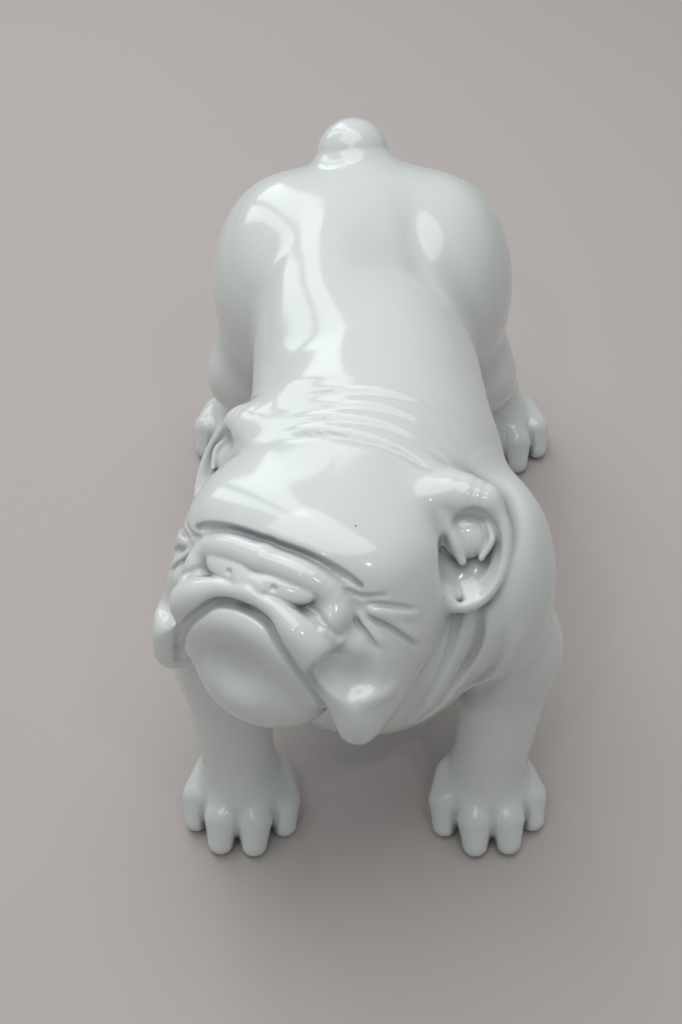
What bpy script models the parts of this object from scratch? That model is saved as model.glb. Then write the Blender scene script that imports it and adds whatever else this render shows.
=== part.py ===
"""A life-size glazed ceramic bulldog that stands with its head turned, as ten slip castings luted together.

Metres, +Z up. The dog faces -Y, its left side is +X, and it stands on z = 0. Each casting is a hollow shell with
rims where it meets the next one, apart from the two ears, which are folded by hand from solid clay.
"""

import math

import bmesh
import bpy
from mathutils import Euler, Matrix, Vector

# Making: the cast wall, the narrowest radius that slip drains out of, the joint line between two castings,
# and the vent that lets out the kiln's air.
WALL = 0.0065
THINNEST_HOLLOW = 0.010
JOINT = 0.0004
VENT_RADIUS = 0.006
VENT_Y = 0.03

# Fineness of the clay forms, and the share of its triangles that each kind of form keeps.
CLAY_GRAIN = 0.004
EAR_GRAIN = 0.003
HEAD_SHARE = 0.045
SKIN_SHARE = 0.028
CORE_SHARE = 0.016
EAR_SHARE = 0.08

# The figure's middle stands over the origin: everything moves by this much from the modelling frame,
# whose X = 0 is the dog's spine.
TO_MIDDLE = (-0.0106, -0.0022, 0)

# Stance: the half width, the place along the dog, and the turn-out in degrees of the paws.
FORE_PAW_X = 0.105
FORE_PAW_Y = -0.211
FORE_PAW_TURN = 4
LEFT_HIND_PAW_X = 0.150
RIGHT_HIND_PAW_X = 0.126
HIND_PAW_Y = 0.236
HIND_PAW_TURN = 3
THIGH_X = 0.108

# The paw: how far the pad's middle lies behind the paw's place, the half spread of the outer and inner toes,
# how far each pair reaches forward, and the toe's radius.
PAD_BACK = 0.010
OUTER_TOE_X = 0.035
INNER_TOE_X = 0.013
OUTER_TOE_REACH = 0.006
INNER_TOE_REACH = 0.026
TOE_RADIUS = 0.0155

# The head: the middle of the skull, then its turn to the dog's right, its tilt and its lifted chin, in degrees.
SKULL_MIDDLE = (-0.0285, -0.136, 0.344)
HEAD_TURN = -30
HEAD_TILT = -7
CHIN_LIFT = -14

# Each leg's joint plane passes through an inner and an outer point of the dog's left side, in X and Z. The tail's
# passes through one point, square to the tail, which leans back by an angle in degrees.
FORE_JOINT = ((0.070, 0.120), (0.155, 0.195))
HIND_JOINT = ((0.065, 0.145), (0.145, 0.205))
TAIL_JOINT = (-0.009, 0.265, 0.347)
TAIL_LEAN = -38

# The blocks that part the castings, each as its size along X, Y and Z. They reach well past the clay, and a leg's
# block reaches over the joint plane's inner point by LEG_BLOCK_INSIDE.
LEG_BLOCK_WIDTH = 0.36
LEG_BLOCK_HEIGHT = 0.30
LEG_BLOCK_INSIDE = 0.14
FORE_BLOCK_Y = (-0.31, -0.09)
HIND_BLOCK_Y = (0.08, 0.36)
TAIL_BLOCK = (0.12, 0.12, 0.08)
GROUND_SLAB = (1.0, 1.0, 0.1)

GLAZE_COLOUR = (0.80, 0.81, 0.78, 1.0)
GLAZE_ROUGHNESS = 0.12
LEFT = 1
RIGHT = -1


def turned(x=0.0, y=0.0, z=0.0):
    """A rotation by angles in degrees."""
    return Euler((math.radians(x), math.radians(y), math.radians(z)), "XYZ").to_matrix().to_4x4()


DOG_FRAME = Matrix.Translation(TO_MIDDLE)
HEAD_NOD = turned(y=HEAD_TILT) @ turned(x=CHIN_LIFT)
HEAD_FRAME = DOG_FRAME @ Matrix.Translation(SKULL_MIDDLE) @ turned(z=HEAD_TURN) @ HEAD_NOD


# Lumps of clay. Each function returns a list of lumps, which clay() presses together into one form.


def ball(x, y, z, radii, tilt=0.0, turn=0.0):
    """An ellipsoid by its centre and three radii, tilted about X and then turned about Z."""
    return {"place": Matrix.Translation((x, y, z)) @ turned(tilt, 0, turn), "radii": radii}


def limb(*stations):
    """A round limb through stations of x, y, z and radius."""
    return {"stations": stations}


def body_lumps():
    return [
        ball(0, -0.09, 0.235, (0.116, 0.145, 0.112)),
        ball(0, -0.05, 0.285, (0.088, 0.160, 0.076)),
        ball(0, 0.07, 0.265, (0.090, 0.150, 0.085)),
        ball(0, 0.200, 0.290, (0.099, 0.100, 0.073)),
        ball(0, -0.175, 0.195, (0.088, 0.070, 0.085)),
        limb((0, -0.070, 0.268, 0.098), (-0.012, -0.105, 0.275, 0.090), (-0.022, -0.125, 0.285, 0.076)),
    ]


def tail_lumps():
    return [limb((-0.006, 0.235, 0.305, 0.040), (-0.008, 0.258, 0.334, 0.036), (-0.009, 0.266, 0.344, 0.033))]


def fore_leg_lumps(side):
    return [
        ball(side * 0.103, -0.150, 0.240, (0.042, 0.070, 0.085)),
        ball(side * 0.120, -0.158, 0.165, (0.034, 0.042, 0.045)),
        limb((side * 0.119, -0.160, 0.165, 0.036), (side * 0.112, -0.180, 0.110, 0.034),
             (side * 0.107, -0.195, 0.065, 0.032), (side * FORE_PAW_X, -0.200, 0.035, 0.035)),
        *paw_lumps(side * FORE_PAW_X, FORE_PAW_Y, side * FORE_PAW_TURN),
    ]


def hind_leg_lumps(side):
    """The thigh, and a shank that slants outward to the paw."""
    paw_x = LEFT_HIND_PAW_X if side == LEFT else RIGHT_HIND_PAW_X
    knee_x, hock_x, ankle_x = (THIGH_X + share * (paw_x - THIGH_X) for share in (0.4, 0.8, 0.9))
    return [
        ball(side * 0.076, 0.196, 0.250, (0.064, 0.098, 0.098), tilt=-6),
        limb((side * THIGH_X, 0.160, 0.170, 0.042), (side * knee_x, 0.235, 0.105, 0.032),
             (side * hock_x, 0.257, 0.060, 0.029), (side * ankle_x, 0.250, 0.030, 0.030)),
        *paw_lumps(side * paw_x, HIND_PAW_Y, side * HIND_PAW_TURN),
    ]


def paw_lumps(x, y, turn):
    """A pad and four toes, each toe running forward and down from the knuckle."""
    place = Matrix.Translation((x, y, 0)) @ turned(z=turn)
    lumps = [ball(x, y + PAD_BACK, 0.022, (0.040, 0.038, 0.028))]
    for across, reach in ((OUTER_TOE_X, OUTER_TOE_REACH), (INNER_TOE_X, INNER_TOE_REACH)):
        for half in (LEFT, RIGHT):
            root = place @ Vector((0.8 * half * across, 0.022 - reach, 0.030))
            knuckle = place @ Vector((half * across, -reach, 0.026))
            tip = place @ Vector((half * across, -reach - 0.014, 0.009))
            lumps.append(limb((*root, TOE_RADIUS), (*knuckle, TOE_RADIUS), (*tip, 0.7 * TOE_RADIUS)))
    return lumps


def head_lumps():
    """The skull, cheeks, muzzle, the roll over the nose and the hanging upper lips, in the head's frame."""
    lumps = [
        ball(0, -0.004, -0.032, (0.090, 0.080, 0.044)),
        ball(0, -0.045, -0.028, (0.078, 0.040, 0.030)),
        ball(0, -0.072, -0.052, (0.056, 0.034, 0.030)),
    ]
    for side in (LEFT, RIGHT):
        lumps += [
            ball(side * 0.064, -0.030, -0.078, (0.038, 0.050, 0.055)),
            ball(side * 0.074, -0.060, -0.105, (0.026, 0.042, 0.044)),
            limb((0, -0.088, -0.024, 0.011), (side * 0.040, -0.083, -0.030, 0.011),
                 (side * 0.064, -0.074, -0.052, 0.011), (side * 0.078, -0.058, -0.082, 0.010)),
            limb((side * 0.004, -0.096, -0.052, 0.014), (side * 0.032, -0.098, -0.066, 0.020),
                 (side * 0.062, -0.092, -0.092, 0.022), (side * 0.080, -0.084, -0.122, 0.017),
                 (side * 0.086, -0.084, -0.138, 0.011)),
        ]
    return lumps


def jaw_lumps():
    """The broad round chin, held between the upper lips, in the head's frame."""
    return [
        ball(0, -0.080, -0.110, (0.062, 0.044, 0.056)),
        ball(0, -0.050, -0.097, (0.050, 0.038, 0.042)),
    ]


def ear_lumps(side):
    """A folded ear: a bowl that leans out from the skull, and the roll that roots it, in the head's frame."""
    return [
        ball(side * 0.104, 0.026, -0.036, (0.032, 0.020, 0.042), tilt=-14, turn=side * 30),
        limb((side * 0.066, 0.030, -0.012, 0.014), (side * 0.102, 0.040, -0.008, 0.012)),
    ]


def ear_bowl_lumps(side):
    """The hollow of the ear, which opens outwards and forwards."""
    return [ball(side * 0.113, 0.008, -0.036, (0.024, 0.018, 0.032), tilt=-14, turn=side * 30)]


# Forms made of clay, and the cutters that part them.


def add_ball(mesh, lump, frame, inset):
    radii = [radius - inset for radius in lump["radii"]]
    matrix = frame @ lump["place"] @ Matrix.Diagonal(radii + [1])
    bmesh.ops.create_uvsphere(mesh, u_segments=32, v_segments=20, radius=1, matrix=matrix)


def add_limb(mesh, lump, frame, inset):
    stations = [(frame @ Vector(s[:3]), s[3] - inset) for s in lump["stations"]]
    for point, radius in stations:
        matrix = Matrix.Translation(point)
        bmesh.ops.create_uvsphere(mesh, u_segments=24, v_segments=14, radius=radius, matrix=matrix)
    for (start, start_radius), (end, end_radius) in zip(stations, stations[1:]):
        along = end - start
        matrix = Matrix.Translation((start + end) / 2) @ along.to_track_quat("Z", "Y").to_matrix().to_4x4()
        bmesh.ops.create_cone(mesh, cap_ends=True, segments=24, radius1=start_radius, radius2=end_radius,
                              depth=along.length, matrix=matrix)


def narrowest(lump):
    """The smallest radius anywhere in a lump."""
    return min(lump["radii"]) if "radii" in lump else min(station[3] for station in lump["stations"])


def clay(name, lumps, frame=DOG_FRAME, inset=0.0, grain=CLAY_GRAIN, soft=7, share=SKIN_SHARE):
    """One closed form: the lumps pressed together by Remesh, smoothed, and thinned out by Decimate."""
    mesh = bmesh.new()
    for lump in lumps:
        if inset and narrowest(lump) - inset < THINNEST_HOLLOW:
            continue
        add = add_ball if "radii" in lump else add_limb
        add(mesh, lump, frame, inset)
    form = helper(name, mesh)
    press = form.modifiers.new("press together", "REMESH")
    press.mode = "VOXEL"
    press.voxel_size = grain
    smooth = form.modifiers.new("smooth", "SMOOTH")
    smooth.factor = 0.5
    smooth.iterations = soft
    thin = form.modifiers.new("thin out", "DECIMATE")
    thin.ratio = share
    thin.use_collapse_triangulate = True
    return settled(form)


def helper(name, mesh):
    """A hidden cutter or form from a bmesh, which is freed."""
    form = bpy.data.objects.new(name, bpy.data.meshes.new(name))
    mesh.to_mesh(form.data)
    mesh.free()
    form.hide_render = True
    form.display_type = "WIRE"
    cutters.objects.link(form)
    return form


def settled(form):
    """Applies a form's modifiers."""
    bpy.context.view_layer.update()
    done = form.evaluated_get(bpy.context.evaluated_depsgraph_get())
    mesh = bpy.data.meshes.new_from_object(done)
    form.modifiers.clear()
    form.data = mesh
    return form


def with_joint_line(form):
    """A copy that stands out by a joint line, to cut the neighbour with."""
    copy = form.copy()
    copy.name = form.name + "_cutter"
    cutters.objects.link(copy)
    swell = copy.modifiers.new("joint line", "DISPLACE")
    swell.mid_level = 0
    swell.strength = JOINT
    return settled(copy)


def leg_block(name, side, joint, low_y, high_y, gap):
    """A box below a leg's sloping joint plane, standing back from that plane by a gap."""
    (inner_x, inner_z), (outer_x, outer_z) = joint
    slope = math.degrees(math.atan2(outer_z - inner_z, outer_x - inner_x))
    across = LEG_BLOCK_WIDTH / 2 - LEG_BLOCK_INSIDE
    mesh = bmesh.new()
    bmesh.ops.create_cube(mesh, size=1)
    middle = Matrix.Translation((across, (low_y + high_y) / 2, -LEG_BLOCK_HEIGHT / 2 - gap))
    place = Matrix.Translation((side * inner_x, 0, inner_z)) @ turned(y=-side * slope)
    mirror = Matrix.Diagonal((side, 1, 1, 1))
    size = Matrix.Diagonal((LEG_BLOCK_WIDTH, high_y - low_y, LEG_BLOCK_HEIGHT, 1))
    matrix = DOG_FRAME @ place @ mirror @ middle @ size
    bmesh.ops.transform(mesh, matrix=matrix, verts=mesh.verts)
    bmesh.ops.recalc_face_normals(mesh, faces=mesh.faces)
    return helper(name, mesh)


def tail_block(name, gap):
    """A box beyond the tail's joint plane, standing back from that plane by a gap."""
    mesh = bmesh.new()
    bmesh.ops.create_cube(mesh, size=1)
    place = DOG_FRAME @ Matrix.Translation(TAIL_JOINT) @ turned(x=TAIL_LEAN)
    middle = Matrix.Translation((0, 0, gap + TAIL_BLOCK[2] / 2))
    matrix = place @ middle @ Matrix.Diagonal((*TAIL_BLOCK, 1))
    bmesh.ops.transform(mesh, matrix=matrix, verts=mesh.verts)
    return helper(name, mesh)


def rod(name, start, end, radius):
    """A round cutter between two points."""
    mesh = bmesh.new()
    start, end = Vector(start), Vector(end)
    along = end - start
    matrix = Matrix.Translation((start + end) / 2) @ along.to_track_quat("Z", "Y").to_matrix().to_4x4()
    bmesh.ops.create_cone(mesh, cap_ends=True, segments=24, radius1=radius, radius2=radius,
                          depth=along.length, matrix=DOG_FRAME @ matrix)
    return helper(name, mesh)


def glaze(name):
    material = bpy.data.materials.new(name)
    material.use_nodes = True
    shader = material.node_tree.nodes["Principled BSDF"]
    shader.inputs["Base Color"].default_value = GLAZE_COLOUR
    shader.inputs["Roughness"].default_value = GLAZE_ROUGHNESS
    shader.inputs["Metallic"].default_value = 0.0
    shader.inputs["Coat Weight"].default_value = 0.5
    return material


def add_boolean(target, operation, other):
    boolean = target.modifiers.new(operation.lower() + " " + other.name, "BOOLEAN")
    boolean.operation = operation
    boolean.solver = "EXACT"
    boolean.object = other


def casting(name, form, cut=(), keep=None):
    """A finished sub-part: a form, kept inside one block if there is one, less its cutters."""
    part = bpy.data.objects.new(name, form.data.copy())
    figure.objects.link(part)
    part.data.materials.clear()
    part.data.materials.append(glaze("glaze_" + name))
    part.data.shade_smooth()
    part.data.set_sharp_from_angle(angle=math.radians(50))
    if keep:
        add_boolean(part, "INTERSECT", keep)
    for other in cut:
        add_boolean(part, "DIFFERENCE", other)


def build_head(head, hollow):
    neck_hole = rod("neck_hole", (-0.010, -0.02, 0.23), (-0.028, -0.130, 0.300), 0.036)
    casting("head", head, cut=[hollow, neck_hole])


def build_jaw(head):
    """The jaw's shell is open at the back, where its hollow runs out into the head's wall."""
    jaw = clay("jaw_form", jaw_lumps(), HEAD_FRAME, share=HEAD_SHARE)
    hollow = clay("jaw_hollow", jaw_lumps() + [limb((0, -0.075, -0.105, 0.035), (0, -0.010, -0.070, 0.035))],
                  HEAD_FRAME, WALL, share=CORE_SHARE)
    casting("lower_jaw", jaw, cut=[with_joint_line(head), hollow])
    return jaw


def build_ears(head):
    ears = []
    for word, side in (("left", LEFT), ("right", RIGHT)):
        ear = clay(word + "_ear_form", ear_lumps(side), HEAD_FRAME, grain=EAR_GRAIN, soft=4, share=EAR_SHARE)
        bowl = clay(word + "_ear_bowl", ear_bowl_lumps(side), HEAD_FRAME, grain=EAR_GRAIN, soft=2, share=EAR_SHARE)
        casting(word + "_ear", ear, cut=[with_joint_line(head), bowl])
        ears.append(ear)
    return ears


def build_body(head_castings):
    """The trunk, the tail and the four legs are one form, parted at the joint planes."""
    lumps = body_lumps() + tail_lumps()
    for side in (LEFT, RIGHT):
        lumps += fore_leg_lumps(side) + hind_leg_lumps(side)
    skin = clay("body_form", lumps)
    hollow = clay("body_hollow", lumps, inset=WALL, share=CORE_SHARE)
    add_boolean(hollow, "DIFFERENCE", ground_slab("sole_thickness", WALL))
    settled(hollow)
    ground = ground_slab("ground", 0)
    torso_cuts = [hollow, tail_block("tail_cutter", 0)]
    casting("tail", skin, cut=[hollow], keep=tail_block("tail_keeper", JOINT))
    for word, joint, low_y, high_y in (("fore", FORE_JOINT, *FORE_BLOCK_Y), ("hind", HIND_JOINT, *HIND_BLOCK_Y)):
        for name, side in (("left_" + word + "_leg", LEFT), ("right_" + word + "_leg", RIGHT)):
            keeper = leg_block(name + "_keeper", side, joint, low_y, high_y, JOINT)
            casting(name, skin, cut=[hollow, ground], keep=keeper)
            torso_cuts.append(leg_block(name + "_cutter", side, joint, low_y, high_y, 0))
    vent = rod("vent", (0, VENT_Y, 0.05), (0, VENT_Y, 0.25), VENT_RADIUS)
    casting("torso", skin, cut=torso_cuts + [vent] + [with_joint_line(form) for form in head_castings])


def ground_slab(name, top):
    """A slab under the figure, with its upper face at a height. It cuts a form's soles flat."""
    mesh = bmesh.new()
    bmesh.ops.create_cube(mesh, size=1)
    matrix = Matrix.Translation((0, 0, top - GROUND_SLAB[2] / 2)) @ Matrix.Diagonal((*GROUND_SLAB, 1))
    bmesh.ops.transform(mesh, matrix=matrix, verts=mesh.verts)
    return helper(name, mesh)


def build_dog():
    head = clay("head_form", head_lumps(), HEAD_FRAME, share=HEAD_SHARE)
    hollow = clay("head_hollow", head_lumps(), HEAD_FRAME, WALL, share=CORE_SHARE)
    build_head(head, hollow)
    jaw = build_jaw(head)
    ears = build_ears(head)
    build_body([head, jaw] + ears)


for old in list(bpy.data.objects):
    bpy.data.objects.remove(old)
figure = bpy.data.collections.new("ceramic_dog_figurine")
cutters = bpy.data.collections.new("cutters")
cutters.hide_render = True
bpy.context.scene.collection.children.link(figure)
bpy.context.scene.collection.children.link(cutters)
build_dog()
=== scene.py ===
"""The looks of a life-size glazed ceramic bulldog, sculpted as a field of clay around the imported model.

Metres, +Z up. The dog faces -Y and its left side is +X. The clay is a signed distance field on a grid:
lumps are pressed together with a soft seam, and strokes of a tool leave grooves and ridges. The field
becomes one smooth surface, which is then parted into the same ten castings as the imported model.
"""

import math

import bpy
import numpy as np
import openvdb
from mathutils import Euler, Matrix, Vector


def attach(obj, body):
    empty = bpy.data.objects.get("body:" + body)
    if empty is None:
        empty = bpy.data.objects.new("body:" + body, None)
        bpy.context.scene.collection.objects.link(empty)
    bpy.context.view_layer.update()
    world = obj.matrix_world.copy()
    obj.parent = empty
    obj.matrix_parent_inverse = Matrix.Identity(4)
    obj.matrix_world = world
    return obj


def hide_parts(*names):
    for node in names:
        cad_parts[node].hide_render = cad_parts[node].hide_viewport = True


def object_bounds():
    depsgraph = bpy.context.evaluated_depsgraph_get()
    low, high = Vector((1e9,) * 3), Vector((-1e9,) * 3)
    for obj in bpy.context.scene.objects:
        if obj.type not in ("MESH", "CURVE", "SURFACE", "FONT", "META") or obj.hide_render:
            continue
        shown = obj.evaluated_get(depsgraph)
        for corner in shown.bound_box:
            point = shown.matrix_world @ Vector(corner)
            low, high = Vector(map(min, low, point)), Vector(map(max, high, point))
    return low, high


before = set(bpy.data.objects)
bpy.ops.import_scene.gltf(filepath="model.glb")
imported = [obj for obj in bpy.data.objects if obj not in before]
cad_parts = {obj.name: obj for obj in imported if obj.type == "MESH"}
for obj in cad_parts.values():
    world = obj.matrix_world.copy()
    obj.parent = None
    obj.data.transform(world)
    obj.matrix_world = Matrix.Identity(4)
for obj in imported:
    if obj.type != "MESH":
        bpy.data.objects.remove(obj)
CAD_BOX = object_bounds()

# The grid of the head, ears and jaw is finer than the body's. FAR is what a field holds before anything is
# pressed into it, and MARGIN is how far past a shape's own box the field takes it in.
HEAD_GRAIN = 0.0011
BODY_GRAIN = 0.0025
FAR = 0.06
MARGIN = 0.014

# How far inside its joint a casting is closed: the first of these depths that hides the whole cap. HUB_STEPS
# steps of HUB_STEP then take the middle of the cap deeper.
CAP_DEPTHS = (0.004, 0.008, 0.014, 0.020)
HUB_STEPS = 8
HUB_STEP = 0.003

# The fillet between the head and the body is narrow below the first of these heights in the head's frame, and
# wide above the second. The body ends OVERLAP inside the head's uncut clay.
SEAM_HEIGHTS = (-0.045, 0.0)
NARROW_FILLET = 0.004
WIDE_FILLET = 0.024
OVERLAP = 0.002

# The boxes that the two grids cover.
HEAD_BOX = ((-0.190, -0.310, 0.170), (0.130, 0.005, 0.400))
BODY_BOX = ((-0.215, -0.310, -0.012), (0.215, 0.315, 0.395))

# The legs lie at least LEG_INSET to the side of the middle, and WAIST_Y is between the fore and hind legs.
LEG_INSET = 0.020
WAIST_Y = -0.020

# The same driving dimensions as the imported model's.
TO_MIDDLE = (-0.0106, -0.0022, 0)
SKULL_MIDDLE = (-0.0285, -0.136, 0.344)
HEAD_TURN = -30
HEAD_TILT = -7
CHIN_LIFT = -14
FORE_PAW_X = 0.105
FORE_PAW_Y = -0.211
FORE_PAW_TURN = 4
LEFT_HIND_PAW_X = 0.150
RIGHT_HIND_PAW_X = 0.126
HIND_PAW_Y = 0.236
HIND_PAW_TURN = 3
THIGH_X = 0.108
FORE_JOINT = ((0.070, 0.120), (0.155, 0.195))
HIND_JOINT = ((0.065, 0.145), (0.145, 0.205))
TAIL_JOINT = (-0.009, 0.265, 0.347)
TAIL_LEAN = -38
VENT_Y = 0.03
VENT_RADIUS = 0.006
LEFT = 1
RIGHT = -1
SIDES = (LEFT, RIGHT)


def turned(x=0.0, y=0.0, z=0.0):
    """A rotation by angles in degrees."""
    return Euler((math.radians(x), math.radians(y), math.radians(z)), "XYZ").to_matrix().to_4x4()


def mirror(side):
    """The identity for the left side, and a mirror image across the middle for the right."""
    return Matrix.Diagonal((side, 1, 1, 1))


DOG = Matrix.Translation(TO_MIDDLE)
HEAD = (DOG @ Matrix.Translation(SKULL_MIDDLE)
        @ turned(z=HEAD_TURN) @ turned(y=HEAD_TILT) @ turned(x=CHIN_LIFT))

# The ear's own frame, inside the head's: x runs outward across the ear, y into it and z up along it.
EAR_MIDDLE = Vector((0.105, 0.018, -0.042))
EAR_UP = Vector((-0.10, 0.49, 0.86)).normalized()
EAR_BACK = Vector((-0.48, 0.74, -0.48))
EAR_BACK = (EAR_BACK - EAR_BACK.dot(EAR_UP) * EAR_UP).normalized()
EAR_OUT = EAR_BACK.cross(EAR_UP)
EAR = Matrix.Translation(EAR_MIDDLE) @ Matrix((EAR_OUT, EAR_BACK, EAR_UP)).transposed().to_4x4()


# Small chips in the forehead's glaze, in the head's frame, with their radii.
CHIPS = (((0.034, -0.025, 0.0065), 0.0018), ((0.031, -0.029, 0.0065), 0.0014),
         ((0.046, -0.041, 0.0005), 0.0012), ((0.050, -0.047, -0.0020), 0.0018))


# The clay.


def smooth_step(low, high, value):
    """0 under the low limit, 1 over the high one, and a smooth rise between them."""
    t = np.clip((value - low) / (high - low), 0, 1)
    return t * t * (3 - 2 * t)


def soft_min(a, b, blend):
    """The lesser of two fields, with a fillet where they meet."""
    h = np.maximum(blend - np.abs(a - b), 0) / blend
    return np.minimum(a, b) - h * h * blend / 4


def spline(points, per=6):
    """A smooth curve through points of any number of values, as an array."""
    knots = np.array(points, float)
    knots = np.vstack([2 * knots[0] - knots[1], knots, 2 * knots[-1] - knots[-2]])
    found = []
    for i in range(1, len(knots) - 2):
        a, b, c, d = knots[i - 1:i + 3]
        for t in np.arange(per) / per:
            bend = (2 * a - 5 * b + 4 * c - d) * t ** 2 + (3 * b - a - 3 * c + d) * t ** 3
            found.append((2 * b + (c - a) * t + bend) / 2)
    found.append(knots[-2])
    return np.array(found)


class Clay:
    """A signed distance field, negative inside, at the nodes of a grid or at loose points."""

    def __init__(self, x, y, z, grain=None):
        self.axes = (x, y, z)
        self.grain = grain
        self.frame = Matrix.Identity(4)
        self.uncut = False
        self.field = np.full(np.broadcast_shapes(x.shape, y.shape, z.shape), FAR, np.float32)

    @classmethod
    def grid(cls, box, grain):
        """Blank clay on a grid over a box."""
        x, y, z = (np.arange(low, high, grain, dtype=np.float32) for low, high in zip(*box))
        return cls(x[:, None, None], y[None, :, None], z[None, None, :], grain)

    @classmethod
    def at(cls, points):
        """Blank clay at loose points."""
        return cls(*(np.ascontiguousarray(column) for column in points.T.astype(np.float32)))

    def first_node(self):
        """The coordinates of the grid's first node."""
        return np.array([axis.ravel()[0] for axis in self.axes])

    def window(self, low, high):
        """The slices of the grid that hold a box, or everything for loose points, or None."""
        if self.grain is None:
            return (slice(None),)
        slices = []
        for axis, first, a, b in zip(self.axes, self.first_node(), low, high):
            start = max(0, math.floor((a - first) / self.grain))
            end = min(axis.size, math.ceil((b - first) / self.grain) + 1)
            if start >= end:
                return None
            slices.append(slice(start, end))
        return tuple(slices)

    def coordinates(self, window):
        if self.grain is None:
            return self.axes
        x, y, z = self.axes
        return x[window[0]], y[:, window[1]], z[:, :, window[2]]

    def blank(self):
        """Another lump of clay on the same grid or points."""
        made = Clay(*self.axes, self.grain)
        made.frame = self.frame
        made.uncut = self.uncut
        return made

    def join(self, other, blend):
        """Joins another lump on the same grid or points to this one."""
        self.field = soft_min(self.field, other.field, blend)

    def press(self, shape, low, high, blend, cut=False):
        """Joins a shape, a function of world coordinates, to the field, or cuts it away."""
        if cut and self.uncut:
            return
        margin = blend + MARGIN
        window = self.window([v - margin for v in low], [v + margin for v in high])
        if window is None:
            return
        new = shape(*self.coordinates(window)).astype(np.float32)
        old = self.field[window]
        self.field[window] = -soft_min(-old, new, blend) if cut else soft_min(old, new, blend)

    def ball(self, at, radii, blend, tilt=0.0, turn=0.0, roll=0.0, cut=False):
        """An ellipsoid."""
        place = self.frame @ Matrix.Translation(at) @ turned(tilt, roll, turn)
        back = place.inverted()
        reach = [math.sqrt(sum((place[k][j] * radii[j]) ** 2 for j in range(3))) for k in range(3)]
        middle = place.to_translation()

        def shape(x, y, z):
            local = [back[k][0] * x + back[k][1] * y + back[k][2] * z + back[k][3] for k in range(3)]
            near = np.sqrt(sum((v / r) ** 2 for v, r in zip(local, radii)))
            slope = np.sqrt(sum((v / r ** 2) ** 2 for v, r in zip(local, radii)))
            return near * (near - 1) / np.maximum(slope, 1e-9)

        low = [m - r for m, r in zip(middle, reach)]
        high = [m + r for m, r in zip(middle, reach)]
        self.press(shape, low, high, blend, cut)

    def limb(self, stations, blend, cut=False, per=0):
        """A round limb through stations of x, y, z and radius, run through a spline if per is given."""
        stations = spline(stations, per) if per else np.array(stations)
        points = np.array([self.frame @ Vector(s[:3]) for s in stations])
        radii = stations[:, 3]

        def shape(x, y, z):
            found = np.inf
            for start, end, r0, r1 in zip(points, points[1:], radii, radii[1:]):
                reach, t = from_segment(x, y, z, start, end)
                found = np.minimum(found, reach - (r0 + t * (r1 - r0)))
            return found

        low = (points - radii[:, None]).min(0)
        high = (points + radii[:, None]).max(0)
        self.press(shape, low, high, blend, cut)

    def stroke(self, points, width, depth, fade=0.25, lift=(0, 0, 0)):
        """Draws a groove over the surface, or a ridge for a negative depth, that fades at its ends."""
        points = spline(points) + np.array(lift)
        points = self.to_surface(np.array([self.frame @ Vector(p) for p in points]))
        share = np.linspace(0, 1, len(points))
        strength = smooth_step(0, fade, share) * smooth_step(0, fade, 1 - share) if fade else share * 0 + 1
        reach = 2.5 * width
        window = self.window(points.min(0) - reach, points.max(0) + reach)
        if window is None:
            return
        x, y, z = self.coordinates(window)
        best = np.full(self.field[window].shape, np.inf, np.float32)
        amount = np.zeros_like(best)
        for start, end, s0, s1 in zip(points, points[1:], strength, strength[1:]):
            away, t = from_segment(x, y, z, start, end)
            closer = away < best
            best = np.where(closer, away, best)
            amount = np.where(closer, s0 + t * (s1 - s0), amount)
        self.field[window] += (depth * amount * np.exp(-(best / width) ** 2)).astype(np.float32)

    def fold(self, points, lift, width=0.0045, depth=0.0016, height=0.0018):
        """A crease with a soft roll of skin beside it, on the side that lift points to."""
        self.stroke(points, 0.45 * width, depth)
        self.stroke(points, width, -height, lift=lift)

    def sample(self, points):
        """The field at loose points, between the nodes of the grid."""
        place = (points - self.first_node()) / self.grain
        low = np.clip(np.floor(place).astype(int), 0, np.array(self.field.shape) - 2)
        t = np.clip(place - low, 0, 1)
        found = 0
        for corner in np.ndindex(2, 2, 2):
            weight = np.prod(np.where(corner, t, 1 - t), axis=1)
            found = found + weight * self.field[tuple((low + corner).T)]
        return found

    def normals(self, points):
        """The directions in which the field rises fastest, which point out of the clay."""
        steps = self.grain * np.eye(3)
        slope = np.stack([self.sample(points + s) - self.sample(points - s) for s in steps], 1)
        return slope / np.maximum(np.linalg.norm(slope, axis=1, keepdims=True), 1e-9)

    def to_surface(self, points, rounds=4):
        """Points moved along the normals onto the surface."""
        for _ in range(rounds):
            points = points - self.normals(points) * self.sample(points)[:, None]
        return points

    def surface(self):
        """The points and triangles of the surface."""
        grid = openvdb.FloatGrid(FAR)
        grid.copyFromArray(self.field)
        points, quads = grid.convertToQuads(0.0)
        points = self.to_surface(points * self.grain + self.first_node(), rounds=2)
        quads = quads.astype(np.int64)
        triangles = np.vstack([quads[:, [0, 1, 2]], quads[:, [0, 2, 3]]])
        return points, triangles


def from_segment(x, y, z, start, end):
    """The distance of each point from a segment, and the share of the way along it where it is nearest."""
    along = end - start
    square = max(float(along @ along), 1e-12)
    t = ((x - start[0]) * along[0] + (y - start[1]) * along[1] + (z - start[2]) * along[2]) / square
    t = np.clip(t, 0, 1)
    dx, dy, dz = (p - s - t * a for p, s, a in zip((x, y, z), start, along))
    return np.sqrt(dx * dx + dy * dy + dz * dz), t


# The sculpting of the body. Every function works on the clay it is given, in the dog's frame.


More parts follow.
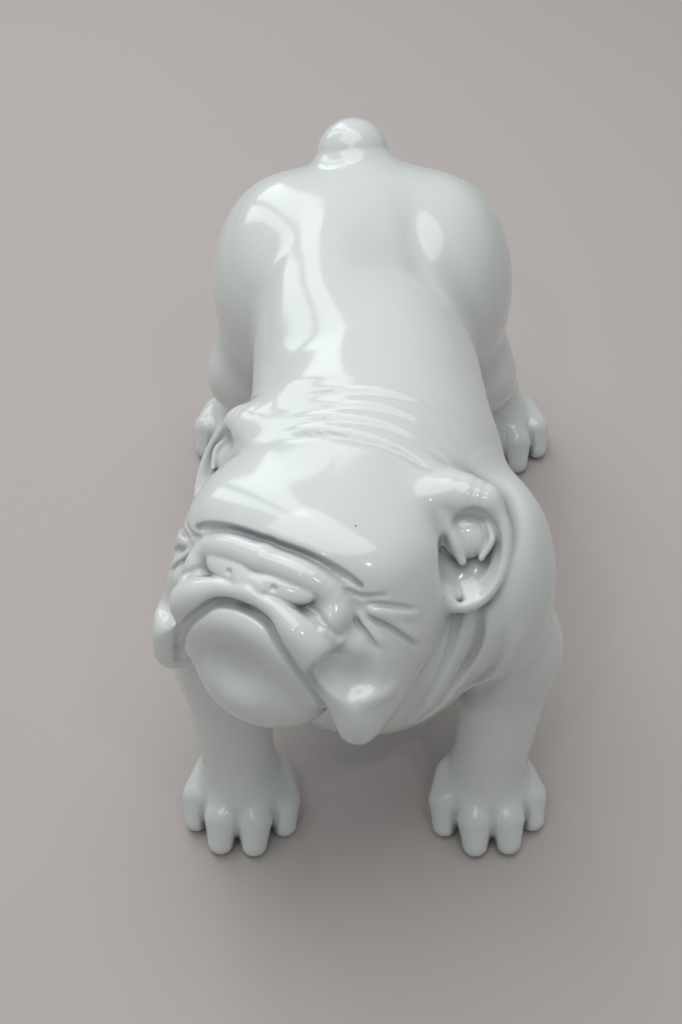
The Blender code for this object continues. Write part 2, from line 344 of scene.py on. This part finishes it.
def sculpt_trunk(clay):
    clay.frame = DOG
    clay.ball((0, -0.09, 0.235), (0.116, 0.145, 0.112), blend=0.03)
    clay.ball((0.004, -0.05, 0.285), (0.088, 0.160, 0.072), blend=0.04)
    clay.ball((0.005, 0.06, 0.265), (0.091, 0.150, 0.082), blend=0.04)
    clay.ball((0, 0.200, 0.290), (0.096, 0.100, 0.072), blend=0.04)
    clay.ball((-0.040, 0.115, 0.290), (0.048, 0.110, 0.060), blend=0.04)
    clay.ball((0, -0.175, 0.195), (0.088, 0.070, 0.085), blend=0.04)
    clay.limb([(0, -0.070, 0.262, 0.096), (-0.008, -0.095, 0.264, 0.086), (-0.014, -0.112, 0.266, 0.070)],
              blend=0.03)


def sculpt_tail(clay):
    clay.frame = DOG
    clay.limb([(-0.006, 0.235, 0.305, 0.040), (-0.008, 0.258, 0.334, 0.036), (-0.009, 0.266, 0.344, 0.033)],
              blend=0.012)


def sculpt_fore_leg(clay, side):
    clay.frame = DOG @ mirror(side)
    clay.ball((0.103, -0.150, 0.240), (0.042, 0.070, 0.085), blend=0.03)
    clay.ball((0.120, -0.158, 0.165), (0.034, 0.042, 0.045), blend=0.03)
    clay.limb([(0.119, -0.160, 0.165, 0.036), (0.112, -0.180, 0.110, 0.034), (0.107, -0.195, 0.065, 0.031),
               (FORE_PAW_X, -0.200, 0.035, 0.035)], blend=0.02)
    sculpt_paw(clay, side, FORE_PAW_X, FORE_PAW_Y, FORE_PAW_TURN)


def sculpt_hind_leg(clay, side):
    """The thigh, and a shank that slants outward to the paw."""
    clay.frame = DOG @ mirror(side)
    paw_x = LEFT_HIND_PAW_X if side == LEFT else RIGHT_HIND_PAW_X
    knee_x, hock_x, ankle_x = (THIGH_X + share * (paw_x - THIGH_X) for share in (0.4, 0.8, 0.9))
    clay.ball((0.076, 0.196, 0.250), (0.063, 0.097, 0.097), blend=0.03, tilt=-6)
    clay.limb([(THIGH_X, 0.160, 0.170, 0.040), (knee_x, 0.235, 0.105, 0.030), (hock_x, 0.257, 0.060, 0.027),
               (ankle_x, 0.250, 0.030, 0.030)], blend=0.03)
    sculpt_paw(clay, side, paw_x, HIND_PAW_Y, HIND_PAW_TURN)


def sculpt_paw(clay, side, x, y, turn):
    """A pad, and four toes that run forward and down from their knuckles, the inner pair further."""
    clay.frame = DOG @ mirror(side) @ Matrix.Translation((x, y, 0)) @ turned(z=turn)
    clay.ball((0, 0.010, 0.022), (0.039, 0.037, 0.027), blend=0.015)
    for across, reach, radius in ((0.036, 0.006, 0.0148), (0.0135, 0.026, 0.0156)):
        for half in SIDES:
            clay.limb([(half * 0.8 * across, 0.022 - reach, 0.030, 0.95 * radius),
                       (half * across, -reach, 0.026, radius),
                       (half * 1.05 * across, -reach - 0.014, 0.010, 0.72 * radius)], blend=0.006)


def sculpt_body(clay):
    sculpt_trunk(clay)
    for side in SIDES:
        sculpt_fore_leg(clay, side)
        sculpt_hind_leg(clay, side)
    sculpt_tail(clay)
    clay.frame = DOG
    clay.limb([(0, VENT_Y, 0.140, VENT_RADIUS), (0, VENT_Y, 0.200, VENT_RADIUS)], blend=0.002, cut=True)


# The sculpting of the head, in the head's frame, whose -Y is the way that the dog looks.


def sculpt_skull(clay):
    """The forehead, cheeks and muzzle."""
    clay.frame = HEAD
    clay.ball((0, -0.006, -0.036), (0.088, 0.078, 0.044), blend=0.03)
    clay.ball((0, -0.044, -0.034), (0.082, 0.042, 0.033), blend=0.015)
    for side in SIDES:
        clay.frame = HEAD @ mirror(side)
        clay.ball((0.064, -0.022, -0.080), (0.043, 0.060, 0.058), blend=0.025)
        clay.ball((0.070, -0.058, -0.108), (0.028, 0.044, 0.044), blend=0.02)
    clay.frame = HEAD
    clay.ball((0, -0.070, -0.056), (0.058, 0.034, 0.028), blend=0.02)


def sculpt_lips(clay):
    """The upper lips: a narrow band under the nose, which widens and hangs over the chin on both sides."""
    for side in SIDES:
        clay.frame = HEAD @ mirror(side)
        clay.limb([(0.000, -0.107, -0.043, 0.0055), (0.024, -0.108, -0.048, 0.0080),
                   (0.042, -0.109, -0.060, 0.0130), (0.056, -0.105, -0.077, 0.0160),
                   (0.068, -0.099, -0.099, 0.0160), (0.076, -0.094, -0.120, 0.0130),
                   (0.080, -0.091, -0.136, 0.0120)], blend=0.010, per=8)
        clay.ball((0.081, -0.072, -0.126), (0.015, 0.032, 0.026), blend=0.016)
        clay.ball((0.085, -0.113, -0.084), (0.020, 0.018, 0.013), blend=0.016, roll=25, cut=True)


def sculpt_nose(clay):
    """The stop, the roll over the nose, the eyes, and the nose, a wide lens with two small nostrils."""
    stop = [(0, -0.086, -0.016, 0.0080), (0.035, -0.082, -0.019, 0.0070), (0.056, -0.076, -0.026, 0.0045),
            (0.068, -0.072, -0.032, 0.0020)]
    roll = [(0, -0.087, -0.028, 0.0120), (0.030, -0.084, -0.031, 0.0120), (0.050, -0.079, -0.042, 0.0110),
            (0.063, -0.074, -0.060, 0.008), (0.071, -0.070, -0.078, 0.006), (0.076, -0.064, -0.092, 0.004)]
    for side in SIDES:
        clay.frame = HEAD @ mirror(side)
        clay.limb(stop, blend=0.0025, cut=True, per=4)
    for side in SIDES:
        clay.frame = HEAD @ mirror(side)
        clay.ball((0.068, -0.060, -0.038), (0.012, 0.010, 0.007), blend=0.002)
        clay.limb(roll, blend=0.004, per=4)
        clay.ball((0.052, -0.087, -0.061), (0.013, 0.014, 0.019), blend=0.010, roll=30)
        clay.ball((0.064, -0.082, -0.080), (0.013, 0.014, 0.018), blend=0.010, roll=30)
    for side in SIDES:
        clay.frame = HEAD @ mirror(side)
        clay.ball((0.016, -0.0990, -0.0378), (0.030, 0.0064, 0.0112), blend=0.0015, tilt=-38, turn=14)
    for side in SIDES:
        clay.frame = HEAD @ mirror(side)
        clay.ball((0.019, -0.1045, -0.0330), (0.0034, 0.0030, 0.0030), blend=0.0012, cut=True)


def sculpt_chin(clay):
    """The broad chin, which rises to the lower lip and has a shallow dish in its front."""
    clay.frame = HEAD
    chin = clay.blank()
    chin.ball((0, -0.078, -0.110), (0.060, 0.044, 0.052), blend=0.01)
    chin.limb([(-0.052, -0.095, -0.108, 0.016), (-0.036, -0.105, -0.084, 0.016),
               (-0.018, -0.108, -0.070, 0.016), (0, -0.108, -0.067, 0.016), (0.018, -0.108, -0.070, 0.016),
               (0.036, -0.105, -0.084, 0.016), (0.052, -0.095, -0.108, 0.016)], blend=0.014, per=6)
    chin.ball((0, -0.090, -0.130), (0.046, 0.032, 0.030), blend=0.02)
    chin.ball((0, -0.172, -0.104), (0.036, 0.056, 0.024), blend=0.010, cut=True)
    clay.join(chin, 0.003)


def sculpt_muzzle(clay):
    sculpt_skull(clay)
    sculpt_lips(clay)


def sculpt_ear(clay, side):
    """A folded ear: the roll at its root, a bowl with a rolled rim, and a flap and two small folds inside."""
    clay.frame = HEAD @ mirror(side)
    clay.limb([(0.056, 0.020, -0.020, 0.014), (0.084, 0.034, -0.009, 0.016), (0.106, 0.041, -0.010, 0.012)],
              blend=0.012, per=3)
    clay.frame = HEAD @ mirror(side) @ EAR
    clay.ball((-0.002, 0.006, 0), (0.030, 0.014, 0.042), blend=0.010)
    rim = []
    for angle in range(115, -161, -15):
        across = math.cos(math.radians(angle))
        along = math.sin(math.radians(angle))
        rim.append((0.028 * across, -0.003, 0.040 * along, 0.0044))
    clay.limb(rim, blend=0.006)
    clay.ball((0.001, -0.010, -0.002), (0.0235, 0.015, 0.035), blend=0.003, cut=True)
    clay.ball((-0.002, 0.000, 0.009), (0.018, 0.0075, 0.014), blend=0.003, roll=-10)
    clay.limb([(-0.022, -0.003, 0.022, 0.0035), (-0.012, -0.006, 0.008, 0.0040),
               (-0.002, -0.005, -0.007, 0.0030)], blend=0.005, per=4)
    clay.limb([(0.012, -0.002, 0.022, 0.0025), (0.016, -0.005, 0.012, 0.0028),
               (0.011, -0.005, -0.002, 0.0024)], blend=0.003, per=4)


def ear_region(points, side):
    """Negative inside a ball about an ear, whose edge is the joint line round the ear's root."""
    clay = Clay.at(points)
    clay.frame = HEAD @ mirror(side) @ EAR
    clay.ball((-0.001, -0.002, 0), (0.036, 0.024, 0.049), blend=0.001)
    return clay.field


def sculpt_head(clay):
    sculpt_skull(clay)
    sculpt_lips(clay)
    sculpt_nose(clay)
    for side in SIDES:
        sculpt_ear(clay, side)
    sculpt_chin(clay)


def sculpt_wrinkles(clay):
    """The creases of the face, nape and neck, drawn on the whole figure."""
    draw_mouth(clay)
    for side in SIDES:
        draw_face(clay, side)
    draw_neck(clay)
    draw_body(clay)


def draw_mouth(clay):
    """The deep line between the upper lips and the chin."""
    half = [(0.000, -0.112, -0.0495), (0.024, -0.114, -0.0560), (0.040, -0.116, -0.0720),
            (0.053, -0.113, -0.0910), (0.062, -0.106, -0.1120), (0.069, -0.099, -0.1340)]
    for side in SIDES:
        clay.frame = HEAD @ mirror(side)
        clay.stroke(half, 0.0032, 0.0050, fade=0)


def draw_face(clay, side):
    """The lines from the eye's corner, the fold beside the nose and the hollow of the lip."""
    clay.frame = HEAD @ mirror(side)
    clay.fold([(0.072, -0.073, -0.044), (0.085, -0.063, -0.047), (0.100, -0.042, -0.058)], (0, 0, -0.005),
              width=0.005, depth=0.0026, height=0.0024)
    clay.fold([(0.073, -0.074, -0.050), (0.088, -0.066, -0.062), (0.102, -0.046, -0.088)], (0.003, 0, 0.005),
              width=0.005, depth=0.0026, height=0.0024)
    clay.fold([(0.062, -0.079, -0.050), (0.073, -0.076, -0.064), (0.084, -0.072, -0.080)], (0.005, 0, 0.003),
              depth=0.0022)
    clay.stroke([(0.056, -0.078, -0.034), (0.070, -0.070, -0.040), (0.084, -0.058, -0.040)], 0.0018, 0.0022)
    clay.stroke([(0.058, -0.110, -0.068), (0.070, -0.108, -0.082), (0.081, -0.100, -0.092),
                 (0.094, -0.082, -0.096)], 0.011, 0.0080, fade=0.35)
    clay.stroke([(0.078, -0.104, -0.104), (0.092, -0.088, -0.108), (0.100, -0.068, -0.106)], 0.006, -0.0028)
    clay.stroke([(0.043, -0.098, -0.042), (0.054, -0.094, -0.052), (0.064, -0.090, -0.066)], 0.0025, 0.0014)
    clay.stroke([(0.052, -0.104, -0.056), (0.060, -0.098, -0.060), (0.068, -0.092, -0.070)], 0.004, -0.0020)


def draw_neck(clay):
    """The skin bunched behind the skull and down the side of the neck."""
    clay.frame = DOG
    back = (0.000, 0.006, 0.002)
    side = (0.006, 0.002, 0)
    for lift, width, depth, height, points in (
            (back, 0.007, 0.0022, 0.0016, [(-0.070, -0.105, 0.345), (-0.036, -0.112, 0.358),
                                           (0.007, -0.124, 0.360), (0.032, -0.134, 0.352),
                                           (0.052, -0.148, 0.342)]),
            (back, 0.006, 0.0014, 0.0014, [(-0.068, -0.092, 0.346), (-0.023, -0.101, 0.360),
                                           (0.018, -0.110, 0.358), (0.045, -0.122, 0.347),
                                           (0.064, -0.142, 0.335)]),
            (back, 0.006, 0.0012, 0.0014, [(-0.061, -0.079, 0.348), (-0.023, -0.088, 0.360),
                                           (0.018, -0.094, 0.360), (0.051, -0.107, 0.346),
                                           (0.072, -0.128, 0.330)]),
            (back, 0.006, 0.0008, 0.0012, [(-0.058, -0.064, 0.347), (-0.020, -0.073, 0.360),
                                           (0.018, -0.078, 0.360), (0.052, -0.086, 0.349),
                                           (0.078, -0.106, 0.330)]),
            (side, 0.006, 0.0050, 0.0042, [(0.062, -0.195, 0.300), (0.066, -0.215, 0.270),
                                           (0.058, -0.228, 0.240), (0.042, -0.238, 0.205),
                                           (0.028, -0.238, 0.170)]),
            (side, 0.007, 0.0038, 0.0038, [(0.083, -0.200, 0.285), (0.084, -0.214, 0.255),
                                           (0.075, -0.222, 0.227), (0.057, -0.230, 0.198),
                                           (0.038, -0.234, 0.165)]),
            (side, 0.007, 0.0024, 0.0026, [(0.100, -0.200, 0.265), (0.100, -0.212, 0.235),
                                           (0.090, -0.214, 0.205), (0.070, -0.218, 0.172)]),
            (side, 0.008, 0.0012, 0.0010, [(0.113, -0.215, 0.230), (0.105, -0.209, 0.190),
                                           (0.089, -0.200, 0.150)])):
        clay.fold(points, lift, width, depth, height)


def draw_body(clay):
    """The hollows between the back and the haunches."""
    clay.frame = DOG
    clay.stroke([(0.040, 0.205, 0.357), (0.043, 0.150, 0.349), (0.052, 0.103, 0.336), (0.066, 0.060, 0.325)],
                0.014, 0.0035, fade=0.4)
    clay.stroke([(-0.050, 0.195, 0.353), (-0.060, 0.141, 0.339), (-0.072, 0.100, 0.315)],
                0.018, 0.0012, fade=0.4)


# From clay to castings.


def to_clay(sculpt, place, grain=None, uncut=False):
    """What a sculpting function makes, on a grid over a box, or at loose points if no grain is given."""
    clay = Clay.grid(place, grain) if grain else Clay.at(place)
    clay.uncut = uncut
    sculpt(clay)
    return clay


def body_round_head(place, grain=None):
    """The clay of the body, less the head's uncut clay, so that it never shows through a cut in the face."""
    clay = to_clay(sculpt_body, place, grain)
    head = to_clay(sculpt_head, place, grain, uncut=True)
    clay.field = np.maximum(clay.field, -OVERLAP - head.field)
    return clay


def whole_dog(box, grain):
    """The head luted to the body: with a crisp edge round the cheeks, and softly at the nape."""
    clay = body_round_head(box, grain)
    head = to_clay(sculpt_head, box, grain)
    x, y, z = clay.axes
    back = HEAD.inverted()
    height = back[2][0] * x + back[2][1] * y + back[2][2] * z + back[2][3]
    widening = (WIDE_FILLET - NARROW_FILLET) * smooth_step(*SEAM_HEIGHTS, height)
    clay.join(head, (NARROW_FILLET + widening).astype(np.float32))
    sculpt_wrinkles(clay)
    clay.field = np.maximum(clay.field, -z)
    return clay


def nearer(points, first, second):
    """Negative where a point is nearer to what the first sculpting function makes than to the second's."""
    return to_clay(first, points, uncut=True).field - to_clay(second, points, uncut=True).field


def part_off(points, triangles, value):
    """Splits a surface where a value changes sign, as (the part where it is negative, the rest)."""
    inside = value < 0
    count = inside[triangles].sum(1)
    # Each triangle that is cut starts from its lone corner, a, and is cut across ab and ac.
    cut = triangles[(count == 1) | (count == 2)]
    lone = (inside[cut].sum(1) == 1)[:, None] == inside[cut]
    order = (lone.argmax(1)[:, None] + np.arange(3)) % 3
    a, b, c = np.take_along_axis(cut, order, 1).T
    crossings = np.vstack([np.sort(np.stack([a, b], 1), 1), np.sort(np.stack([a, c], 1), 1)])
    edges, index = np.unique(crossings, axis=0, return_inverse=True)
    index = index.reshape(-1)
    start, end = edges.T
    t = (value[start] / (value[start] - value[end]))[:, None]
    points = np.vstack([points, points[start] + t * (points[end] - points[start])])
    ab = index[:len(a)] + len(value)
    ac = index[len(a):] + len(value)
    tips = np.stack([a, ab, ac], 1)
    bases = np.vstack([np.stack([ab, b, c], 1), np.stack([ab, c, ac], 1)])
    tip_inside = inside[a]
    base_inside = np.concatenate([~tip_inside, ~tip_inside])
    negative = np.vstack([triangles[count == 3], tips[tip_inside], bases[base_inside]])
    positive = np.vstack([triangles[count == 0], tips[~tip_inside], bases[~base_inside]])
    return compact(points, negative), compact(points, positive)


def compact(points, triangles):
    """A surface without the points that no triangle uses."""
    used, index = np.unique(triangles, return_inverse=True)
    return points[used], index.reshape(-1, 3)


def rims(triangles):
    """The loops of open edges, each as a list of points in order."""
    ends = np.concatenate([triangles[:, [0, 1]], triangles[:, [1, 2]], triangles[:, [2, 0]]])
    size = ends.max() + 1
    codes = ends[:, 0] * size + ends[:, 1]
    open_ends = ends[~np.isin(codes, ends[:, 1] * size + ends[:, 0])]
    following = dict(open_ends[:, ::-1].tolist())
    loops = []
    while following:
        start, here = following.popitem()
        loop = [start]
        while here != start and here in following:
            loop.append(here)
            here = following.pop(here)
        loops.append(loop)
    return loops


def capped(clay, points, triangles, inward):
    """The surface with each open rim turned in and closed by a fan. A rim that no depth hides stays open."""
    for loop in rims(triangles):
        rim = points[loop]
        way = -clay.normals(rim) if inward is None else np.array(inward)
        for depth in CAP_DEPTHS:
            ring = rim + depth * way
            middle = ring.mean(0)[None]
            for _ in range(HUB_STEPS):
                middle = middle - HUB_STEP * clay.normals(middle)
            spokes = [ring + share * (middle - ring) for share in (0, 0.25, 0.5, 0.75)]
            if max(clay.sample(spots).max() for spots in spokes) < 0:
                break
        else:
            continue
        outer = np.array(loop)
        inner = np.arange(len(loop)) + len(points)
        hub = np.full(len(loop), len(points) + len(loop))
        points = np.vstack([points, ring, middle])
        outer_next, inner_next = np.roll(outer, -1), np.roll(inner, -1)
        triangles = np.vstack([triangles, np.stack([outer, outer_next, inner], 1),
                               np.stack([outer_next, inner_next, inner], 1),
                               np.stack([inner, inner_next, hub], 1)])
    return points, triangles


def casting(name, clay, part, inward=None):
    """A piece of the surface, capped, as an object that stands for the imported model's node of that name."""
    surface_points = len(part[0])
    points, triangles = capped(clay, *part, inward)
    mesh = bpy.data.meshes.new(name + "_glazed")
    mesh.vertices.add(len(points))
    mesh.vertices.foreach_set("co", points.astype(np.float32).ravel())
    mesh.loops.add(triangles.size)
    mesh.loops.foreach_set("vertex_index", triangles.astype(np.int32).ravel())
    mesh.polygons.add(len(triangles))
    mesh.polygons.foreach_set("loop_start", np.arange(0, triangles.size, 3, dtype=np.int32))
    mesh.update(calc_edges=True)
    mesh.shade_smooth()
    normals = clay.normals(points)
    # The crevice value greys the glaze in the creases, partly for pooled glaze and partly as painted shade.
    crevice = mesh.attributes.new("crevice", "FLOAT", "POINT")
    crevice.data.foreach_set("value", crevices(clay, points, normals, surface_points))
    mesh.normals_split_custom_set_from_vertices(normals.tolist())
    piece = bpy.data.objects.new(name + "_glazed", mesh)
    bpy.context.scene.collection.objects.link(piece)
    mesh.materials.append(GLAZE)
    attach(piece, "root")
    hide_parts(name)


def crevices(clay, points, normals, count):
    """How shut in each point of the surface is, from 0 in the open to 1 deep in a crease."""
    found = np.zeros(len(points), np.float32)
    for reach in (0.003, 0.008):
        seen = clay.sample(points[:count] + reach * normals[:count]) / reach
        found[:count] += 0.5 * np.clip(1 - seen, 0, 1)
    return found


# Materials.

COOL_WHITE = (0.75, 0.80, 0.79, 1)
WARM_WHITE = (0.80, 0.82, 0.78, 1)
# Painted shade: the grey that the creases turn, partly glaze that pools in them and partly the shade that
# falls in them.
GLAZE_POOL_AND_SHADE_GREY = (0.30, 0.32, 0.33, 1)
CHIP_BROWN = (0.10, 0.08, 0.06, 1)
BARE_CLAY = (0.62, 0.57, 0.50, 1)
FLOOR_COLOUR = (0.55, 0.50, 0.48, 1)
SOLE_HEIGHT = 0.0015
GLAZE_ROUGHNESS = 0.16
CLAY_ROUGHNESS = 0.85
FLOOR_ROUGHNESS = 0.9
FLOOR_HALF = 3.0
FLOOR_DROP = 0.0005


def node(tree, kind, **settings):
    """A new shader node, with its inputs or its own properties set by name."""
    made = tree.nodes.new(kind)
    for key, value in settings.items():
        if key in made.inputs:
            made.inputs[key].default_value = value
        else:
            setattr(made, key, value)
    return made


def blended(tree, factor, first, second):
    """A blend of two colours, of which each is a value or another node's output."""
    mix = node(tree, "ShaderNodeMix", data_type="RGBA")
    tree.links.new(factor, mix.inputs["Factor"])
    for name, colour in (("A", first), ("B", second)):
        if isinstance(colour, tuple):
            mix.inputs[name].default_value = colour
        else:
            tree.links.new(colour, mix.inputs[name])
    return mix.outputs["Result"]


def below(tree, value, limit):
    """1 where a value is under a limit, and 0 elsewhere."""
    test = node(tree, "ShaderNodeMath", operation="LESS_THAN")
    test.inputs[1].default_value = limit
    tree.links.new(value, test.inputs[0])
    return test.outputs["Value"]


def glaze_colour(tree, place, sole):
    """White, slightly uneven, greyer in the creases, partly for glaze that pools there and partly as painted
    shade, chipped on the forehead, and bare clay on the soles.
    """
    link = tree.links.new
    cloud = node(tree, "ShaderNodeTexNoise", Scale=9.0, Detail=3.0)
    link(place, cloud.inputs["Vector"])
    colour = blended(tree, cloud.outputs["Fac"], COOL_WHITE, WARM_WHITE)
    crevice = node(tree, "ShaderNodeAttribute", attribute_name="crevice")
    pool_and_shade = node(tree, "ShaderNodeMapRange",
                  **{"From Min": 0.12, "From Max": 0.70, "To Min": 0, "To Max": 1})
    link(crevice.outputs["Fac"], pool_and_shade.inputs["Value"])
    # Painted shade: the creases turn grey by how shut in they are, partly for pooled glaze and partly for the
    # shade in them.
    colour = blended(tree, pool_and_shade.outputs["Result"], colour, GLAZE_POOL_AND_SHADE_GREY)
    for spot, radius in CHIPS:
        away = node(tree, "ShaderNodeVectorMath", operation="DISTANCE")
        away.inputs[1].default_value = HEAD @ Vector(spot)
        link(place, away.inputs[0])
        colour = blended(tree, below(tree, away.outputs["Value"], radius), colour, CHIP_BROWN)
    return blended(tree, sole, colour, BARE_CLAY)


def make_glaze():
    """A glossy glaze with a faint ripple, and a rough sole."""
    material = bpy.data.materials.new("white_glaze_detailed")
    material.use_nodes = True
    tree = material.node_tree
    link = tree.links.new
    shader = tree.nodes["Principled BSDF"]
    place = node(tree, "ShaderNodeTexCoord").outputs["Object"]
    height = node(tree, "ShaderNodeSeparateXYZ")
    link(place, height.inputs["Vector"])
    sole = below(tree, height.outputs["Z"], SOLE_HEIGHT)
    link(glaze_colour(tree, place, sole), shader.inputs["Base Color"])
    roughness = node(tree, "ShaderNodeMapRange", **{"To Min": GLAZE_ROUGHNESS, "To Max": CLAY_ROUGHNESS})
    link(sole, roughness.inputs["Value"])
    link(roughness.outputs["Result"], shader.inputs["Roughness"])
    ripple = node(tree, "ShaderNodeTexNoise", Scale=45.0, Detail=2.0)
    link(place, ripple.inputs["Vector"])
    bump = node(tree, "ShaderNodeBump", Strength=0.10, Distance=0.0006)
    link(ripple.outputs["Fac"], bump.inputs["Height"])
    link(bump.outputs["Normal"], shader.inputs["Normal"])
    shader.inputs["Coat Weight"].default_value = 0.4
    shader.inputs["Coat Roughness"].default_value = 0.08
    return material


def make_floor():
    """A plain pale square, just under the soles."""
    corners = [(x * FLOOR_HALF, y * FLOOR_HALF, 0) for x, y in ((-1, -1), (1, -1), (1, 1), (-1, 1))]
    mesh = bpy.data.meshes.new("floor")
    mesh.from_pydata(corners, [], [(0, 1, 2, 3)])
    floor = bpy.data.objects.new("floor", mesh)
    bpy.context.scene.collection.objects.link(floor)
    floor.location.z = CAD_BOX[0].z - FLOOR_DROP
    material = bpy.data.materials.new("pale_floor")
    material.use_nodes = True
    shader = material.node_tree.nodes["Principled BSDF"]
    shader.inputs["Base Color"].default_value = FLOOR_COLOUR
    shader.inputs["Roughness"].default_value = FLOOR_ROUGHNESS
    mesh.materials.append(material)


# The camera and the light.

CAMERA_PLACE = (-0.0306, -0.8522, 1.094)
CAMERA_TILT = 42
DAYLIGHT = (0.88, 0.95, 1.0)
SKY = (0.90, 0.96, 1.0, 1)
SKY_STRENGTH = 0.27


def make_camera():
    """A camera in front of the dog that looks down on it."""
    data = bpy.data.cameras.new("camera")
    data.lens = 50
    data.sensor_width = 36
    camera = bpy.data.objects.new("camera", data)
    camera.location = CAMERA_PLACE
    camera.rotation_euler = (math.radians(CAMERA_TILT), 0, 0)
    bpy.context.scene.collection.objects.link(camera)
    bpy.context.scene.camera = camera


def make_area(name, place, aim, size, power, colour):
    """A rectangular lamp that faces a point."""
    data = bpy.data.lights.new(name, "AREA")
    data.shape = "RECTANGLE"
    data.size, data.size_y = size
    data.energy = power
    data.color = colour
    lamp = bpy.data.objects.new(name, data)
    lamp.location = place
    lamp.rotation_euler = (Vector(aim) - Vector(place)).to_track_quat("-Z", "Y").to_euler()
    bpy.context.scene.collection.objects.link(lamp)


def make_light():
    """A dim pale room, two tall windows beyond the dog, a broad soft light overhead and two small lamps."""
    world = bpy.data.worlds.new("studio")
    bpy.context.scene.world = world
    world.use_nodes = True
    background = world.node_tree.nodes["Background"]
    background.inputs["Color"].default_value = SKY
    background.inputs["Strength"].default_value = SKY_STRENGTH
    level = (0, 0, 2.2)
    make_area("window_left", (-1.50, 1.6, 2.2), level, (0.5, 3.0), 10, DAYLIGHT)
    make_area("window_right", (-0.75, 1.8, 2.2), level, (0.6, 3.0), 12, DAYLIGHT)
    figure = (0, 0, 0.30)
    make_area("ceiling", (-0.3, 0.3, 2.9), figure, (2.4, 2.4), 42, (1.0, 0.99, 0.97))
    for name, place in (("spot_left", (-0.5, -1.1, 1.9)), ("spot_right", (0.5, -0.9, 2.0))):
        make_area(name, place, figure, (0.06, 0.06), 1.2, (1, 1, 1))
    bpy.context.scene.view_settings.view_transform = "Standard"


# The figure.


def leg_plane(points, side, joint):
    """How high each point is over a leg's sloping joint plane."""
    (inner_x, inner_z), (outer_x, outer_z) = joint
    slope = math.atan2(outer_z - inner_z, outer_x - inner_x)
    across = side * (points[:, 0] - TO_MIDDLE[0]) - inner_x
    return (points[:, 2] - inner_z) * math.cos(slope) - across * math.sin(slope)


def tail_plane(points):
    """How far each point lies beyond the tail's joint plane."""
    place = DOG @ Matrix.Translation(TAIL_JOINT)
    axis = np.array(turned(x=TAIL_LEAN).col[2][:3])
    return (points - np.array(place.to_translation())) @ axis


def make_body():
    """The tail, legs and torso, on the coarser grid."""
    clay = whole_dog(BODY_BOX, BODY_GRAIN)
    points, triangles = clay.surface()
    rest = part_off(points, triangles, body_round_head(points).field - to_clay(sculpt_head, points).field)[0]
    tail, rest = part_off(*rest, -tail_plane(rest[0]))
    casting("tail", clay, tail)
    for word, joint, end in (("fore", FORE_JOINT, 1), ("hind", HIND_JOINT, -1)):
        for side_word, side in (("left", LEFT), ("right", RIGHT)):
            at = rest[0]
            own_half = LEG_INSET - side * (at[:, 0] - TO_MIDDLE[0])
            own_end = (at[:, 1] - WAIST_Y) * end
            under = leg_plane(at, side, joint)
            leg, rest = part_off(*rest, np.maximum(np.maximum(under, own_half), own_end))
            casting(f"{side_word}_{word}_leg", clay, leg)
    casting("torso", clay, rest)


def make_head():
    """The ears, jaw and head, on the finer grid."""
    clay = whole_dog(HEAD_BOX, HEAD_GRAIN)
    points, triangles = clay.surface()
    rest = part_off(points, triangles, to_clay(sculpt_head, points).field - body_round_head(points).field)[0]
    for name, side in (("left_ear", LEFT), ("right_ear", RIGHT)):
        ear, rest = part_off(*rest, ear_region(rest[0], side))
        casting(name, clay, ear, (HEAD @ mirror(side) @ EAR).col[1][:3])
    jaw, rest = part_off(*rest, nearer(rest[0], sculpt_chin, sculpt_muzzle))
    casting("lower_jaw", clay, jaw)
    casting("head", clay, rest)


make_camera()
make_light()
make_floor()
GLAZE = make_glaze()
make_body()
make_head()
